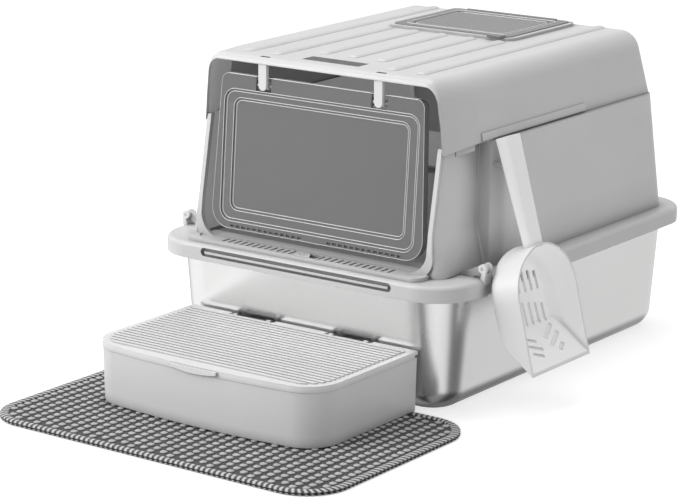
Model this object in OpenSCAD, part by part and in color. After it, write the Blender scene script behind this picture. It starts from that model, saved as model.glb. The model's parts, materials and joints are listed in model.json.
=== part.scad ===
// Enclosed cat litter box: a drafted steel pan, a plastic rim, a hood with a flip-up top cover,
// a see-through swing flap and skylight, a hanging scoop, a storage step and a two-layer mat.
// Millimetres. +Z is up, the entrance faces -Y, and the origin is the middle of the pan's
// underside.

/* [Pan and rim] */
// Width across the rim
rim_w = 430; // [410:2:450]
// Depth across the rim, front to back
rim_d = 540; // [520:2:570]
// Corner radius of the rim, seen from above
rim_corner = 54; // [46:1:60]
// Height of the rim's lower edge above the floor
rim_z = 137; // [125:1:160]
// Height of the rim band
rim_h = 19; // [18:1:26]
// Width of the rim's top, from its outer face
rim_top_w = 32; // [28:1:36]
// Rounding of the rim's upper outer edge
rim_round = 5; // [3:0.5:7]
// Thickness of the steel
steel = 1; // [0.6:0.1:1.6]
// Distance from the rim's face to the pan's wall
pan_inset = 14; // [12:0.5:16]
// Corner radius of the pan, seen from above
pan_corner = 58; // [50:1:64]
// Corner radius of the pan at its floor
pan_foot_corner = 34; // [28:1:46]
// Inward draft of the pan's wall, rim to floor
pan_draft = 11; // [4:1:16]
// Radius between the pan's wall and floor
pan_fillet = 18; // [10:1:24]
// Half length of the finger channel in the rim's front
channel_half = 136; // [100:1:140]
// Height of the finger channel
channel_h = 10; // [8:0.5:11]
// Depth of the finger channel
channel_depth = 4.6; // [2:0.2:5]

/* [Hood] */
// Wall of the plastic shells
wall = 3; // [2.4:0.1:3.6]
// Distance from the rim's face to the hood's side wall
hood_side = 21; // [19:0.5:27]
// Height of the hood's shoulder above the floor
hood_top = 300; // [285:1:320]
// Inward draft of each side of the hood
hood_draft = 4; // [0:1:8]
// Distance from the rim's front to the entrance's frame
entry_back = 33; // [30:0.5:36]
// Depth of the narrower neck at the front
neck_d = 81; // [70:1:96]
// Step from the wide rear part in to the neck, each side
neck_step = 14; // [12:0.5:18]
// Backward lean of the front and rear walls, in degrees
wall_lean = 10.6; // [8:0.2:12]
// Distance from the neck's side to the entrance
entry_side = 19; // [17:0.5:24]
// Corner radius of the entrance
entry_corner = 27; // [16:1:32]
// Width of the frame round the entrance
entry_frame = 11; // [8:0.5:12]
// How far that frame stands out
frame_proud = 3; // [2:0.5:4]
// Height of the entrance's sill above the rim
sill_h = 4.5; // [4:0.5:7]
// Slots on each side of the sill
sill_slots = 12; // [6:1:13]
// Pitch of the sill's slots
slot_pitch = 8.85; // [6:0.05:9]
// Width of one sill slot
slot_w = 3; // [2:0.25:4]

/* [Cover] */
// Height of the top cover above the hood's shoulder
cover_h = 76; // [66:1:90]
// Step from the hood's side in to the cover's lower edge
cover_step = 10; // [8:0.5:14]
// Distance from the entrance's frame at the rim back to the cover's front edge
cover_back = 15; // [13:0.5:18]
// Distance from the hood's rear wall at the rim in to the cover's rear wall
cover_tail = 28; // [27:0.5:36]
// Radius along the cover's upper side edges
cover_round = 26; // [18:1:32]
// Rounding of the cover's front nose
nose_round = 9; // [6:1:12]
// Inward draft of each side of the cover
cover_draft = 8; // [2:1:12]
// Drop of the cover's front arch below the roof
arch_drop = 8; // [7:0.5:12]
// Backward slope of the roof, in degrees
roof_slope = 0; // [0:0.1:1.2]
// Pitch of the roof ribs
rib_pitch = 40.8; // [34:0.2:42]
// Width of a roof rib
rib_w = 15; // [10:0.5:20]
// Height of a roof rib
rib_h = 2.6; // [1.5:0.1:4]
// How far the side grip stands out
grip_out = 3.5; // [3:0.5:6]

/* [Skylight] */
// Width of the skylight
sky_w = 170; // [140:1:184]
// Depth of the skylight, front to back
sky_d = 140; // [110:1:146]
// Distance from the cover's rear wall to the skylight
sky_tail = 31; // [29:0.5:40]
// Thickness of the clear panel
sky_t = 2.6; // [2:0.2:4]

/* [Flap] */
// Gap from the entrance's side to the flap's lower edge
flap_gap = 10.5; // [5:0.5:20]
// Narrowing of each side of the flap towards its top
flap_taper = 7; // [0:0.5:10]
// Height of the flap
flap_h = 183; // [170:1:184]
// Depth of the flap's tray-shaped edge
flap_depth = 9; // [7:0.5:11]
// Thickness of the flap's sheet
flap_t = 2.2; // [1.6:0.1:3]
// Forward lean of the flap's lower edge, in degrees
flap_lean = 4.5; // [2:0.1:5]
// Spacing of the hanger hooks from the middle
hook_x = 82; // [70:1:95]
// Width of a hanger hook
hook_w = 13; // [10:0.5:16]
// Radius of the hinge pins
pin_r = 2; // [1.5:0.1:2.2]

/* [Scoop] */
// Width of the scoop's bowl
scoop_w = 112; // [90:1:116]
// Length of the scoop's bowl
bowl_len = 140; // [124:1:150]
// Depth of the scoop's bowl
bowl_depth = 45; // [38:0.5:48]
// Depth of the bowl at its lip
lip_depth = 36; // [28:1:38]
// Wall of the scoop
scoop_wall = 2.4; // [2:0.1:3]
// Rounding between the bowl's floor and its wall
bowl_round = 13; // [10:1:24]
// Width of the handle at the bowl
handle_w = 27; // [20:0.5:30]
// Width of the handle at its top
handle_top_w = 35; // [26:0.5:40]
// Outward lean of the hanging scoop, in degrees
scoop_lean = 17; // [14:0.5:20]
// Distance from the neck's rear to the middle of the hanging scoop
scoop_back = 15; // [14:0.5:30]

/* [Step box] */
// Half width of the step box
step_half = 162; // [150:1:174]
// Depth of the step box
step_d = 196; // [180:1:210]
// Height of the step's box without its lid
step_h = 66; // [50:1:80]
// Radius of the step's bowed front
bow_r = 1080; // [800:2:2000]
// Radius of the step's front corners
step_corner = 42; // [34:1:52]
// Inward draft of the step's walls
step_draft = 1.2; // [0.6:0.2:6]
// Thickness of the lid's plate
lid_t = 4; // [3.4:0.2:5]
// Number of tread ribs on the lid
tread_count = 21; // [10:1:23]
// Width of one tread rib
tread_w = 4.6; // [3:0.1:6]
// Height of one tread rib
tread_h = 1.4; // [0.8:0.1:2]

/* [Mat] */
// Width of the mat
mat_w = 472; // [440:2:500]
// Depth of the mat
mat_d = 298; // [260:2:320]
// Corner radius of the mat
mat_corner = 53; // [30:1:60]
// Sideways place of the mat
mat_x = 11; // [-15:1:15]
// Thickness of one foam layer
mat_t = 3; // [2:0.2:4]
// Width of the bound edge
binding_w = 9; // [6:0.5:12]

/* [Hidden] */
$fn = 64;
tiny = 0.01;

run_gap = 0.06;   // radial clearance of a pin in its bore
slide_gap = 0.4;  // clearance round pieces that slide or lift

rim_top = rim_z + rim_h;
pan_w = rim_w - 2 * pan_inset;
pan_d = rim_d - 2 * pan_inset;
pan_top = rim_top - wall;
channel_wall = 1.4;
pan_flange = pan_inset - channel_depth - channel_wall - slide_gap;
lip_drop = 12;    // of the lip that locates the rim in the pan, below the rim's top
lip_in = 2.5;     // clearance of that lip from the pan's wall
pan_foot_w = pan_w - 2 * pan_draft;
pan_foot_d = pan_d - 2 * pan_draft;

// hood
hood_w = rim_w - 2 * hood_side;
hood_rear = rim_d / 2 - rim_top_w + wall;
entry_y = -rim_d / 2 + entry_back;
neck_rear = entry_y + neck_d;
neck_w = hood_w - 2 * neck_step;
entry_half = neck_w / 2 - entry_side;
hood_body_h = hood_top - rim_top;
lean_y = hood_body_h * tan(wall_lean);
rear_lean = tan(wall_lean - 1);
rear_lean_y = hood_body_h * rear_lean;
neck_lean_y = 8;
shoulder_rear = hood_rear - rear_lean_y;
sill_z = rim_top + sill_h;
sill_front = -rim_d / 2 + rim_round + 4;
sill_half = entry_half + 5;
sill_dip = 1.4;
sill_sink = 2.2;  // of the entrance's lower edge below the sill's top
sill_floor = sill_z - sill_dip;
apron_rear = entry_y + 26;
slot_len = 15;
slot_deep = 2.6;
slot_rear = entry_y + 1;
latch_w = 24;
latch_travel = 8;
latch_half = (latch_w + latch_travel) / 2 + slide_gap;
latch_d = 15;
latch_h = 2.2;
latch_front = slot_rear - latch_d;

// cover
cover_w = hood_w - 2 * cover_step;
cover_front = entry_y + cover_back;
cover_rear = hood_rear - cover_tail;
sky_rear = cover_rear - sky_tail;
cover_z = hood_top + slide_gap;
roof_z = cover_z + cover_h;
roof_half = cover_w / 2 - cover_draft;
arch_top = roof_z - arch_drop;
cover_axis = [0, cover_rear + 13, cover_z + 3.5];
cover_corner = 12; // corner radius of the cover's lower edge, seen from above
arch_edge = wall + 1;
arch_r = 21;
flap_hang = 34;    // of the flap's pins below the roof
tab_drop = 9;
cover_ear_x = 110;
ear_r = pin_r + 3;
ear_w = 14;
lug_w = 6;
buckle_lug_w = 5;
rib_foot = 1;
rib_edge = 0.3;
rib_front_long = cover_front + 23;
rib_front_short = rib_front_long + 38;
rib_rear_long = cover_rear - 20;
cover_lean = tan(7);
rear_round = 15;
grip_h = 2.8;
grip_front = neck_rear - 6;
grip_rear = 56;
tab_gap = 1.2;
badge_size = [80, 22];

// flap and its hangers
flap_half = entry_half - flap_gap;
flap_axis = [0, cover_front + 7, roof_z - flap_hang];
flap_drop = flap_h - 10;
flap_front = pin_r + 1.2;
boss_w = 5;
loop_r = pin_r + 2.5;
notch_w = hook_w + 9;
notch_drop = loop_r + 2.5;
strap_t = 2.4;

// skylight
sky_frame = 6;
rib_rear_short = sky_rear - sky_d - sky_frame - 3;
sky_seat = 3.4;
sky_lift = 1;
sky_pin_r = 1.3;
sky_knuckle = sky_pin_r + 1.5;
sky_axis = [0, sky_d / 2 - 2.5, sky_lift - sky_pin_r];

// buckles
buckle_y = neck_rear - 41;
buckle_w = 14;
buckle_axis_z = rim_top + 12;
buckle_x = rim_w / 2 - 2;
buckle_eye = pin_r + 3;
buckle_t = 3;
tooth = 3;

// scoop: the bowl's floor leans on the rim's upper edge
handle_t = 14;
handle_top_t = 18;
handle_len = 128;
mouth_out = 10.5;
scoop_rest = 2.4; // clearance of the bowl from the rim, beyond the buckle's face
scoop_y = neck_rear + scoop_back;
scoop_top_z = cover_z + 7.5;
scoop_lean_out = (rim_w / 2 - rim_round) * cos(scoop_lean)
    + (rim_top - rim_round - scoop_top_z) * sin(scoop_lean);
scoop_top_x = (scoop_lean_out + rim_round + scoop_rest + bowl_depth - mouth_out)
    / cos(scoop_lean);
scoop_top = [scoop_top_x, scoop_y, scoop_top_z];
bowl_r = scoop_w / 2;
bowl_straight = bowl_len - bowl_r;
bowl_end = 264;
ramp_run = 50;
peg_drop = 34;
peg_r = 4;
peg_in = 7;       // how far the peg reaches into the handle

// step box and mat
mat_y = -rim_d / 2 + 14 - mat_d / 2;
mat_top_z = 2 * mat_t;
step_z = mat_top_z;
seam_z = step_z + step_h;
step_rear = -rim_d / 2 + 16.5;
step_front = step_rear - step_d;
step_wall = 2.6;
step_inset = 0.6;
step_flange = 3.4;
lid_axis = [0, step_rear - 4, seam_z + lid_t / 2];
lid_pin_r = 1.2;
lid_notch_x = 69.5;
lid_notch_w = 65;
lid_notch_d = 8.4;
lip_half = 32;
lip_h = 3.4;        // of the lid's finger lip below the seam, at its middle
lip_bow = 170;
finger_t = 2.6;
tread_ends = 17;

// ---------------------------------------------------------------- shared shapes

module rounded_rect(w, d, r) {
    square([w - 2 * r, d], center = true);
    square([w, d - 2 * r], center = true);
    for (x = [-1, 1], y = [-1, 1])
        translate([x * (w / 2 - r), y * (d / 2 - r)])
            circle(r = r);
}

// Carries a wall profile round a rounded rectangle. In the profile x = 0 is the outline and
// x = -r the corner's axis.
module sweep_rect(w, d, r) {
    for (k = [0 : 3]) {
        across = k % 2 == 0 ? w : d;
        along = k % 2 == 0 ? d : w;
        rotate([0, 0, 90 * k])
            translate([across / 2 - r, along / 2 - r, 0]) {
                rotate_extrude(angle = 90)
                    translate([r, 0])
                        children();
                rotate([90, 0, 0])
                    linear_extrude(along - 2 * r)
                        translate([r, 0])
                            children();
            }
    }
}

// Ring of section radius small about Z, closed at the axis; big is its middle radius.
module round_ring(big, small) {
    rotate_extrude()
        intersection() {
            translate([big, 0])
                circle(r = small, $fn = 36);
            translate([0, -small])
                square([big + small, 2 * small]);
        }
}

module rod_x(r, len) {
    rotate([0, 90, 0])
        cylinder(r = r, h = len, center = true);
}

module rod_y(r, len) {
    rotate([90, 0, 0])
        cylinder(r = r, h = len, center = true);
}

// ---------------------------------------------------------------- pan and rim

// Drafted tub: its corner radius shrinks from pan_corner at the rim to pan_foot_corner at the
// floor. inset gives the inner face.
module pan_form(inset) {
    foot = pan_fillet - inset;
    hull() {
        for (x = [-1, 1], y = [-1, 1])
            translate([x * (pan_foot_w / 2 - pan_foot_corner),
                y * (pan_foot_d / 2 - pan_foot_corner), pan_fillet])
                round_ring(pan_foot_corner - pan_fillet, foot, $fn = 56);
        translate([0, 0, pan_top - tiny])
            linear_extrude(inset > 0 ? 1 : tiny)
                rounded_rect(pan_w - 2 * inset, pan_d - 2 * inset, pan_corner - inset, $fn = 88);
    }
}

// Rolled flange that carries the rim.
module flange_profile() {
    translate([-steel, pan_top - steel])
        square([pan_flange + steel, steel]);
    translate([pan_flange - steel, pan_top - 3.5])
        square([steel, 3.5]);
}

module steel_pan() color("silver") {
    difference() {
        pan_form(0);
        pan_form(steel);
    }
    sweep_rect(pan_w, pan_d, pan_corner)
        flange_profile();
}

module rim_profile() {
    translate([-wall, rim_z])
        square([wall, rim_h - rim_round]);
    translate([-rim_round, rim_top - rim_round])
        intersection() {
            difference() {
                circle(r = rim_round);
                circle(r = max(rim_round - wall, tiny));
            }
            square(rim_round);
        }
    translate([-rim_top_w, rim_top - wall])
        square([rim_top_w - rim_round, wall]);
}

// Lip that locates the rim inside the pan.
module rim_lip() {
    inset = steel + lip_in;
    lip_t = 2;
    sweep_rect(pan_w - 2 * inset, pan_d - 2 * inset, pan_corner - inset)
        translate([-lip_t, rim_top - lip_drop])
            square([lip_t, lip_drop - wall]);
}

module rim_ring() color([0.80, 0.80, 0.80]) {
    channel_z = rim_z + rim_h * 0.56;
    difference() {
        union() {
            sweep_rect(rim_w, rim_d, rim_corner)
                rim_profile();
            rim_lip();
            translate([-channel_half - 6, -rim_d / 2 + wall - tiny, rim_z])
                cube([2 * channel_half + 12, channel_depth + channel_wall - wall, rim_h - wall]);
        }
        translate([0, -rim_d / 2, channel_z])
            rotate([90, 0, 0])
                linear_extrude(2 * channel_depth, center = true)
                    rounded_rect(2 * channel_half, channel_h, channel_h / 2 - tiny);
    }
    translate([0, -rim_d / 2 + channel_depth / 2 + 0.5, channel_z - 0.6])
        cube([2 * channel_half - channel_h, channel_depth - 0.6, 3], center = true);
}

// ---------------------------------------------------------------- hood

// One drafted, leaning block of the hood: w is its width at the rim, front and rear are its
// faces there, and inset shrinks it to give the hollow.
module hood_block(w, front, rear, front_lean, rear_lean, r, inset) {
    hull() {
        for (level = [0, 1]) {
            half = w / 2 - level * hood_draft - inset;
            y0 = front + level * front_lean + inset;
            y1 = rear - level * rear_lean - inset;
            translate([0, (y0 + y1) / 2, rim_top + level * (hood_body_h - tiny)])
                linear_extrude(tiny)
                    rounded_rect(2 * half, y1 - y0, max(r - inset, 2));
        }
    }
}

// Children are drawn in the plane of the leaning entrance, y up the slope from the rim.
module entry_plane() {
    translate([0, entry_y, rim_top])
        rotate([90 - wall_lean, 0, 0])
            children();
}

module entry_outline(grow) {
    height = hood_body_h / cos(wall_lean) + 20;
    r = entry_corner + grow;
    translate([0, sill_h - sill_sink - grow]) {
        translate([-entry_half - grow, r])
            square([2 * (entry_half + grow), height]);
        translate([-entry_half - grow + r, 0])
            square([2 * (entry_half + grow - r), r + 1]);
        for (x = [-1, 1])
            translate([x * (entry_half + grow - r), r])
                circle(r = r);
    }
}

module below_shoulder() {
    translate([-rim_w, -rim_d, rim_top])
        cube([2 * rim_w, 2 * rim_d, hood_body_h]);
}

module sill() {
    depth = slot_rear + 6 - sill_front;
    translate([0, sill_front + depth / 2, rim_top])
        linear_extrude(sill_h)
            rounded_rect(2 * sill_half, depth, 12);
    translate([-entry_half, entry_y, rim_top + 0.4])
        cube([2 * entry_half, apron_rear - entry_y, sill_floor - rim_top - 1]);
}

// Shallow dip in the sill; the threshold below the entrance is level with it.
module sill_hollow() {
    dip_front = sill_front + 5;
    dip_rear = apron_rear + 20;
    translate([0, (dip_front + dip_rear) / 2, sill_floor])
        linear_extrude(2 * sill_h)
            rounded_rect(2 * entry_half, dip_rear - dip_front, 24);
}

module threshold_cut() {
    translate([0, entry_y, sill_floor + sill_dip])
        cube([2 * (entry_half - entry_corner), 24, 2 * sill_dip], center = true);
}

// The slots and the latch's slide way.
module sill_slots_cut() {
    for (side = [-1, 1], k = [0 : sill_slots - 1])
        translate([side * (latch_half + 4.5 + k * slot_pitch), slot_rear - slot_len / 2,
            sill_floor])
            cube([slot_w, slot_len, 2 * slot_deep], center = true);
    translate([-latch_half, latch_front - slide_gap, sill_floor - latch_h])
        cube([2 * latch_half, latch_d + 2 * slide_gap, latch_h + 1]);
}

// Lug that carries a buckle's pin, out over the rim.
module buckle_lug(side) {
    reach = buckle_x - neck_w / 2 + wall;
    translate([side * buckle_x, buckle_y, 0])
        rotate([90, 0, 0])
            linear_extrude(buckle_lug_w, center = true) {
                translate([0, buckle_axis_z])
                    circle(r = buckle_eye);
                polygon([[0, buckle_axis_z + buckle_eye], [0, buckle_axis_z - buckle_eye],
                    [-side * 14, rim_top + 0.5], [-side * reach, rim_top + 0.5],
                    [-side * reach, buckle_axis_z + buckle_eye]]);
            }
}

module cover_lug(side, end) {
    root_y = shoulder_rear - wall;
    translate([side * cover_ear_x + end * (ear_w / 2 + slide_gap + lug_w / 2), 0, 0]) {
        translate([0, cover_axis[1], cover_axis[2]])
            rod_x(ear_r, lug_w);
        translate([-lug_w / 2, root_y, hood_top - 14])
            rotate([90, 0, 90])
                linear_extrude(lug_w)
                    polygon([[0, 0], [4, 0], [cover_axis[1] - root_y + ear_r, 14],
                        [cover_axis[1] - root_y - ear_r, 17], [0, 12]]);
    }
}

module hood_hollow() {
    below = hood_body_h - wall;
    intersection() {
        translate([0, 0, -tiny])
            hood_block(hood_w, neck_rear, hood_rear, neck_lean_y, rear_lean_y, 26, wall);
        translate([-rim_w, -rim_d, rim_top - 1])
            cube([2 * rim_w, 2 * rim_d, below + 1]);
    }
    for (z = [-tiny, 2])
        translate([0, 0, z])
            hood_block(neck_w, entry_y, neck_rear + 40 + 2 * wall, lean_y, 0, 12, wall);
    mouth_front = neck_rear + neck_lean_y + wall;
    mouth_rear = cover_rear - 2 * wall;
    translate([0, (mouth_front + mouth_rear) / 2, rim_top + below - 1])
        linear_extrude(2 * wall)
            rounded_rect(cover_w - 4 * wall, mouth_rear - mouth_front, 20);
}

module hood() color([0.78, 0.78, 0.78]) {
    difference() {
        union() {
            hood_block(hood_w, neck_rear, hood_rear, neck_lean_y, rear_lean_y, 26, 0);
            hood_block(neck_w, entry_y, neck_rear + 40, lean_y, 0, 12, 0);
            intersection() {
                entry_plane()
                    linear_extrude(frame_proud)
                        entry_outline(entry_frame);
                below_shoulder();
            }
            for (side = [-1, 1]) {
                buckle_lug(side);
                for (end = [-1, 1])
                    cover_lug(side, end);
            }
        }
        hood_hollow();
        entry_plane()
            linear_extrude(60, center = true)
                entry_outline(0);
        threshold_cut();
        sill_slots_cut();
        for (side = [-1, 1]) {
            translate([side * buckle_x, buckle_y, buckle_axis_z])
                rod_y(pin_r + run_gap, 3 * buckle_w);
            translate([side * cover_ear_x, cover_axis[1], cover_axis[2]])
                rod_x(pin_r + run_gap, 3 * ear_w);
        }
    }
    difference() {
        sill();
        sill_hollow();
        sill_slots_cut();
    }
}

// The latch's right end is cut on a slant.
module sill_latch() color([0.93, 0.93, 0.93]) {
    left = -latch_half + slide_gap;
    translate([left, latch_front, sill_floor - latch_h + slide_gap])
        linear_extrude(latch_h - slide_gap)
            polygon([[0, 0], [latch_w, 0], [latch_w - 9, latch_d], [0, latch_d]]);
    for (k = [0 : 2])
        translate([left + 4 + k * 5, latch_front + latch_d / 2, sill_floor])
            rod_y(1, latch_d - 5);
}

// ---------------------------------------------------------------- cover

// The cover's closed form; inset shrinks it to give the hollow.
module cover_form(inset) {
    edge = cover_round - inset;
    nose = max(nose_round - inset, 2);
    tail = rear_round - inset;
    front = cover_front + inset;
    top = roof_z - inset;
    fall = (cover_rear - cover_front) * tan(roof_slope);
    back = cover_rear - inset - cover_lean * cover_h;
    low = cover_z - (inset > 0 ? 1 : 0);
    hull() {
        for (side = [-1, 1]) {
            translate([side * (roof_half - cover_round), front + nose, top - edge])
                edge_torus(edge, nose);
            translate([side * (roof_half - cover_round), back - tail, top - fall - edge])
                edge_torus(edge, tail);
        }
        translate([0, (front + cover_rear - inset) / 2, low])
            linear_extrude(tiny)
                rounded_rect(cover_w - 2 * inset, cover_rear - inset - front, cover_corner - inset,
                    $fn = 48);
    }
}

// Ring about Y that rounds a side edge by big and the end there by small.
module edge_torus(big, small) {
    rotate([90, 0, 0])
        round_ring(big - small, small, $fn = 48);
}

module side_grip(side) {
    translate([side * (cover_w / 2 - 2), 0, cover_z])
        rotate([90, 0, 0])
            translate([0, 0, -grip_rear])
                linear_extrude(grip_rear - grip_front)
                    polygon([[0, 4], [side * (grip_out + 2), 4],
                        [side * (grip_out + 2), 4 + grip_h], [side * 2, 5 + 2 * grip_h],
                        [0, 5 + 2 * grip_h]]);
}

// Spring tab that grips the neck's side below the cover.
module snap_tab(side) {
    inner = neck_w / 2 - hood_draft + tab_gap;
    outer = cover_w / 2 - wall + 1;
    translate([side * neck_w / 2, neck_rear - 24, 0])
        rotate([90, 0, 0])
            linear_extrude(26, center = true)
                polygon([for (p = [[inner, cover_z - tab_drop], [inner + 2, cover_z - tab_drop],
                    [inner + 2, cover_z], [outer, cover_z], [outer, cover_z + 4],
                    [inner, cover_z + 4]]) [side * (p[0] - neck_w / 2), p[1]]]);
}

module roof_rib(x, front, rear) {
    depth = rear - front - rib_w;
    rise = rib_h - rib_edge;
    bulge = (rib_w * rib_w / 4 + rise * rise) / (2 * rise);
    translate([x, front + rib_w / 2, 0]) {
        rotate_extrude($fn = 36)
            rib_half(bulge);
        translate([0, depth, 0]) {
            rotate_extrude($fn = 36)
                rib_half(bulge);
            rotate([90, 0, 0])
                linear_extrude(depth) {
                    rib_half(bulge);
                    mirror([1, 0])
                        rib_half(bulge);
                }
        }
    }
}

// Half of a rib's section: a low crown over a short foot that runs into the roof.
module rib_half(bulge) {
    translate([0, -rib_foot])
        square([rib_w / 2, rib_foot + rib_edge]);
    intersection() {
        translate([0, rib_h - bulge])
            circle(r = bulge, $fn = 72);
        square([rib_w / 2, rib_h]);
    }
}

module roof_plane() {
    translate([0, cover_front, roof_z])
        rotate([-roof_slope, 0, 0])
            translate([0, -cover_front, 0])
                children();
}

// Children are drawn about the middle of the skylight, on its raised frame.
module sky_place() {
    roof_plane()
        translate([0, sky_rear - sky_d / 2, sky_seat])
            children();
}

module badge_place() {
    roof_plane()
        translate([0, rib_front_short - 18 - badge_size[1] / 2, 0])
            children();
}

module top_cover() color([0.88, 0.88, 0.88]) {
    difference() {
        union() {
            cover_form(0);
            for (side = [-1, 1])
                side_grip(side);
            roof_plane()
                for (x = [-3 : 3])
                    roof_rib(x * rib_pitch, abs(x) > 1 ? rib_front_long : rib_front_short,
                        abs(x) > 2 ? rib_rear_long : rib_rear_short);
            sky_place()
                translate([0, 0, -sky_seat - 1])
                    linear_extrude(sky_seat + 1)
                        rounded_rect(sky_w + 2 * sky_frame, sky_d + 2 * sky_frame, 14);
        }
        cover_form(wall);
        cover_arch();
        sky_place() {
            translate([0, 0, -3 * wall])
                linear_extrude(4 * wall)
                    rounded_rect(sky_w - 16, sky_d - 16, 8);
            translate([0, 0, sky_lift - sky_t - slide_gap])
                linear_extrude(2 * sky_t)
                    rounded_rect(sky_w + 2 * slide_gap, sky_d + 2 * slide_gap, 10);
            translate(sky_axis) {
                rod_x(sky_knuckle + slide_gap, sky_w + 2 * slide_gap);
                translate([0, 0, sky_t])
                    cube([sky_w + 2 * slide_gap, 2 * (sky_knuckle + slide_gap), 2 * sky_t],
                        center = true);
            }
        }
        badge_place()
            cube([badge_size[0], badge_size[1], 2], center = true);
        roof_plane()
            for (side = [-1, 1])
                translate([side * hook_x, cover_front + 8, 0])
                    cube([hook_w, 3, 4 * wall], center = true);
    }
    for (side = [-1, 1]) {
        snap_tab(side);
        cover_ear(side);
    }
}

// The entrance's arch: the front wall is cut away inside a narrow edge that follows the cover's
// sides and the nose.
module cover_arch() {
    dx = cover_w / 2 - roof_half + cover_round;
    dz = cover_h - cover_round;
    lean = atan2(dx, dz) - asin(cover_round / sqrt(dx * dx + dz * dz));
    foot = cover_w / 2 - arch_edge / cos(lean);
    z = arch_top - arch_r;
    x = foot - (z - cover_z) * tan(lean) - arch_r / cos(lean);
    corner = [for (k = [0 : 8]) let (a = lean + (90 - lean) * k / 8)
        [x + arch_r * cos(a), z + arch_r * sin(a)]];
    right = concat([[foot + tan(lean), cover_z - 1]], corner);
    left = [for (k = [len(right) - 1 : -1 : 0]) [-right[k][0], right[k][1]]];
    translate([0, cover_front, 0])
        rotate([90, 0, 0])
            linear_extrude(40, center = true)
                polygon(concat(right, left));
}

module cover_ear(side) {
    difference() {
        translate([side * cover_ear_x - ear_w / 2, 0, 0])
            rotate([90, 0, 90])
                linear_extrude(ear_w)
                    union() {
                        translate([cover_axis[1], cover_axis[2]])
                            circle(r = ear_r);
                        polygon([[cover_rear - wall, cover_z + 2],
                            [cover_axis[1], cover_axis[2] - ear_r],
                            [cover_axis[1], cover_axis[2] + ear_r],
                            [cover_rear - wall, cover_axis[2] + ear_r + 4]]);
                    }
        translate([side * cover_ear_x, cover_axis[1], cover_axis[2]])
            rod_x(pin_r + run_gap, 2 * ear_w);
    }
}

module cover_pin(side) color("gainsboro") {
    translate([side * cover_ear_x, cover_axis[1], cover_axis[2]])
        rod_x(pin_r, ear_w + 2 * lug_w + 2);
}

module badge_plate() color([0.35, 0.33, 0.33]) {
    badge_place()
        translate([0, 0, -0.6])
            cube([badge_size[0] - 1, badge_size[1] - 1, 0.8], center = true);
}

// ---------------------------------------------------------------- flap

module hook(side) color([0.95, 0.95, 0.95]) {
    strap_y = flap_axis[1] - loop_r + strap_t / 2;
    translate([side * hook_x, 0, 0]) {
        difference() {
            union() {
                translate([0, flap_axis[1], flap_axis[2]])
                    rod_x(loop_r, hook_w);
                translate([0, strap_y, (flap_axis[2] + roof_z - wall) / 2])
                    cube([hook_w, strap_t, roof_z - wall - flap_axis[2]], center = true);
            }
            translate([0, flap_axis[1], flap_axis[2]])
                rod_x(pin_r + run_gap, hook_w + 1);
        }
    }
}

// Children are drawn in the plane of the hanging flap: x across, y up from its lower edge.
module flap_plane() {
    translate([0, flap_axis[1], flap_axis[2]])
        rotate([90 - flap_lean, 0, 0])
            translate([0, -flap_drop, 0])
                children();
}

module flap_outline(inset) {
    hull() {
        for (side = [-1, 1]) {
            translate([side * (flap_half - 24), 24])
                circle(r = 24 - inset);
            translate([side * (flap_half - flap_taper - 10), flap_h - 10])
                circle(r = 10 - inset);
        }
    }
}

// One of the flap's embossed frames; level 0 is the outer one, 1 the inner.
module flap_panel(level, grow, from, to) {
    half = flap_half - 12 - 13.5 * level + grow;
    low = 9 + 13 * level - grow;
    high = flap_h - 17.5 - 10 * level + grow;
    translate([0, (low + high) / 2, -to])
        linear_extrude(to - from)
            rounded_rect(2 * half, high - low, 15 - 4 * level + grow);
}

module flap_door() color([0.55, 0.56, 0.57, 0.6]) {
    flap_plane()
        difference() {
            union() {
                translate([0, 0, flap_front])
                    flap_tray();
                for (side = [-1, 1], end = [-1, 1])
                    translate([side * hook_x + end * (notch_w + boss_w - tiny) / 2, flap_drop,
                        flap_front - loop_r - 0.2])
                        cube([boss_w, 2 * loop_r, 2 * loop_r], center = true);
            }
            for (side = [-1, 1])
                translate([side * hook_x, flap_drop, 0])
                    rod_x(pin_r + run_gap, notch_w + 2 * boss_w + 1);
        }
}

// The pressed tray with its two embossed frames, the hanger notches and the row of holes.
module flap_tray() {
    step = 1.4;
    skin = flap_t + 2 * step;
    difference() {
        translate([0, 0, -flap_depth])
            linear_extrude(flap_depth)
                flap_outline(0);
        translate([0, 0, -flap_depth - 1])
            linear_extrude(flap_depth + 1 - skin)
                flap_outline(flap_t);
        for (level = [0, 1])
            difference() {
                translate([0, 0, -skin - 1])
                    linear_extrude(2 * step - level * step + 1 + tiny)
                        flap_outline(flap_t);
                flap_panel(level, flap_t, -1, skin + 2);
            }
        flap_panel(0, 0, -1, step);
        flap_panel(1, 0, -1, 2 * step);
        for (side = [-1, 1]) {
            translate([side * hook_x, flap_drop - notch_drop + 20, 0])
                cube([notch_w, 40, 4 * flap_depth], center = true);
            for (k = [0 : 12])
                translate([side * (21 + k * 8.2), 3.4, -flap_depth / 2])
                    cube([5, 2.6, 2 * flap_depth], center = true);
        }
    }
}

module flap_pin(side) color("gainsboro") {
    translate([side * hook_x, flap_axis[1], flap_axis[2]])
        rod_x(pin_r, notch_w + 2 * boss_w - 1);
}

// ---------------------------------------------------------------- skylight

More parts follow.
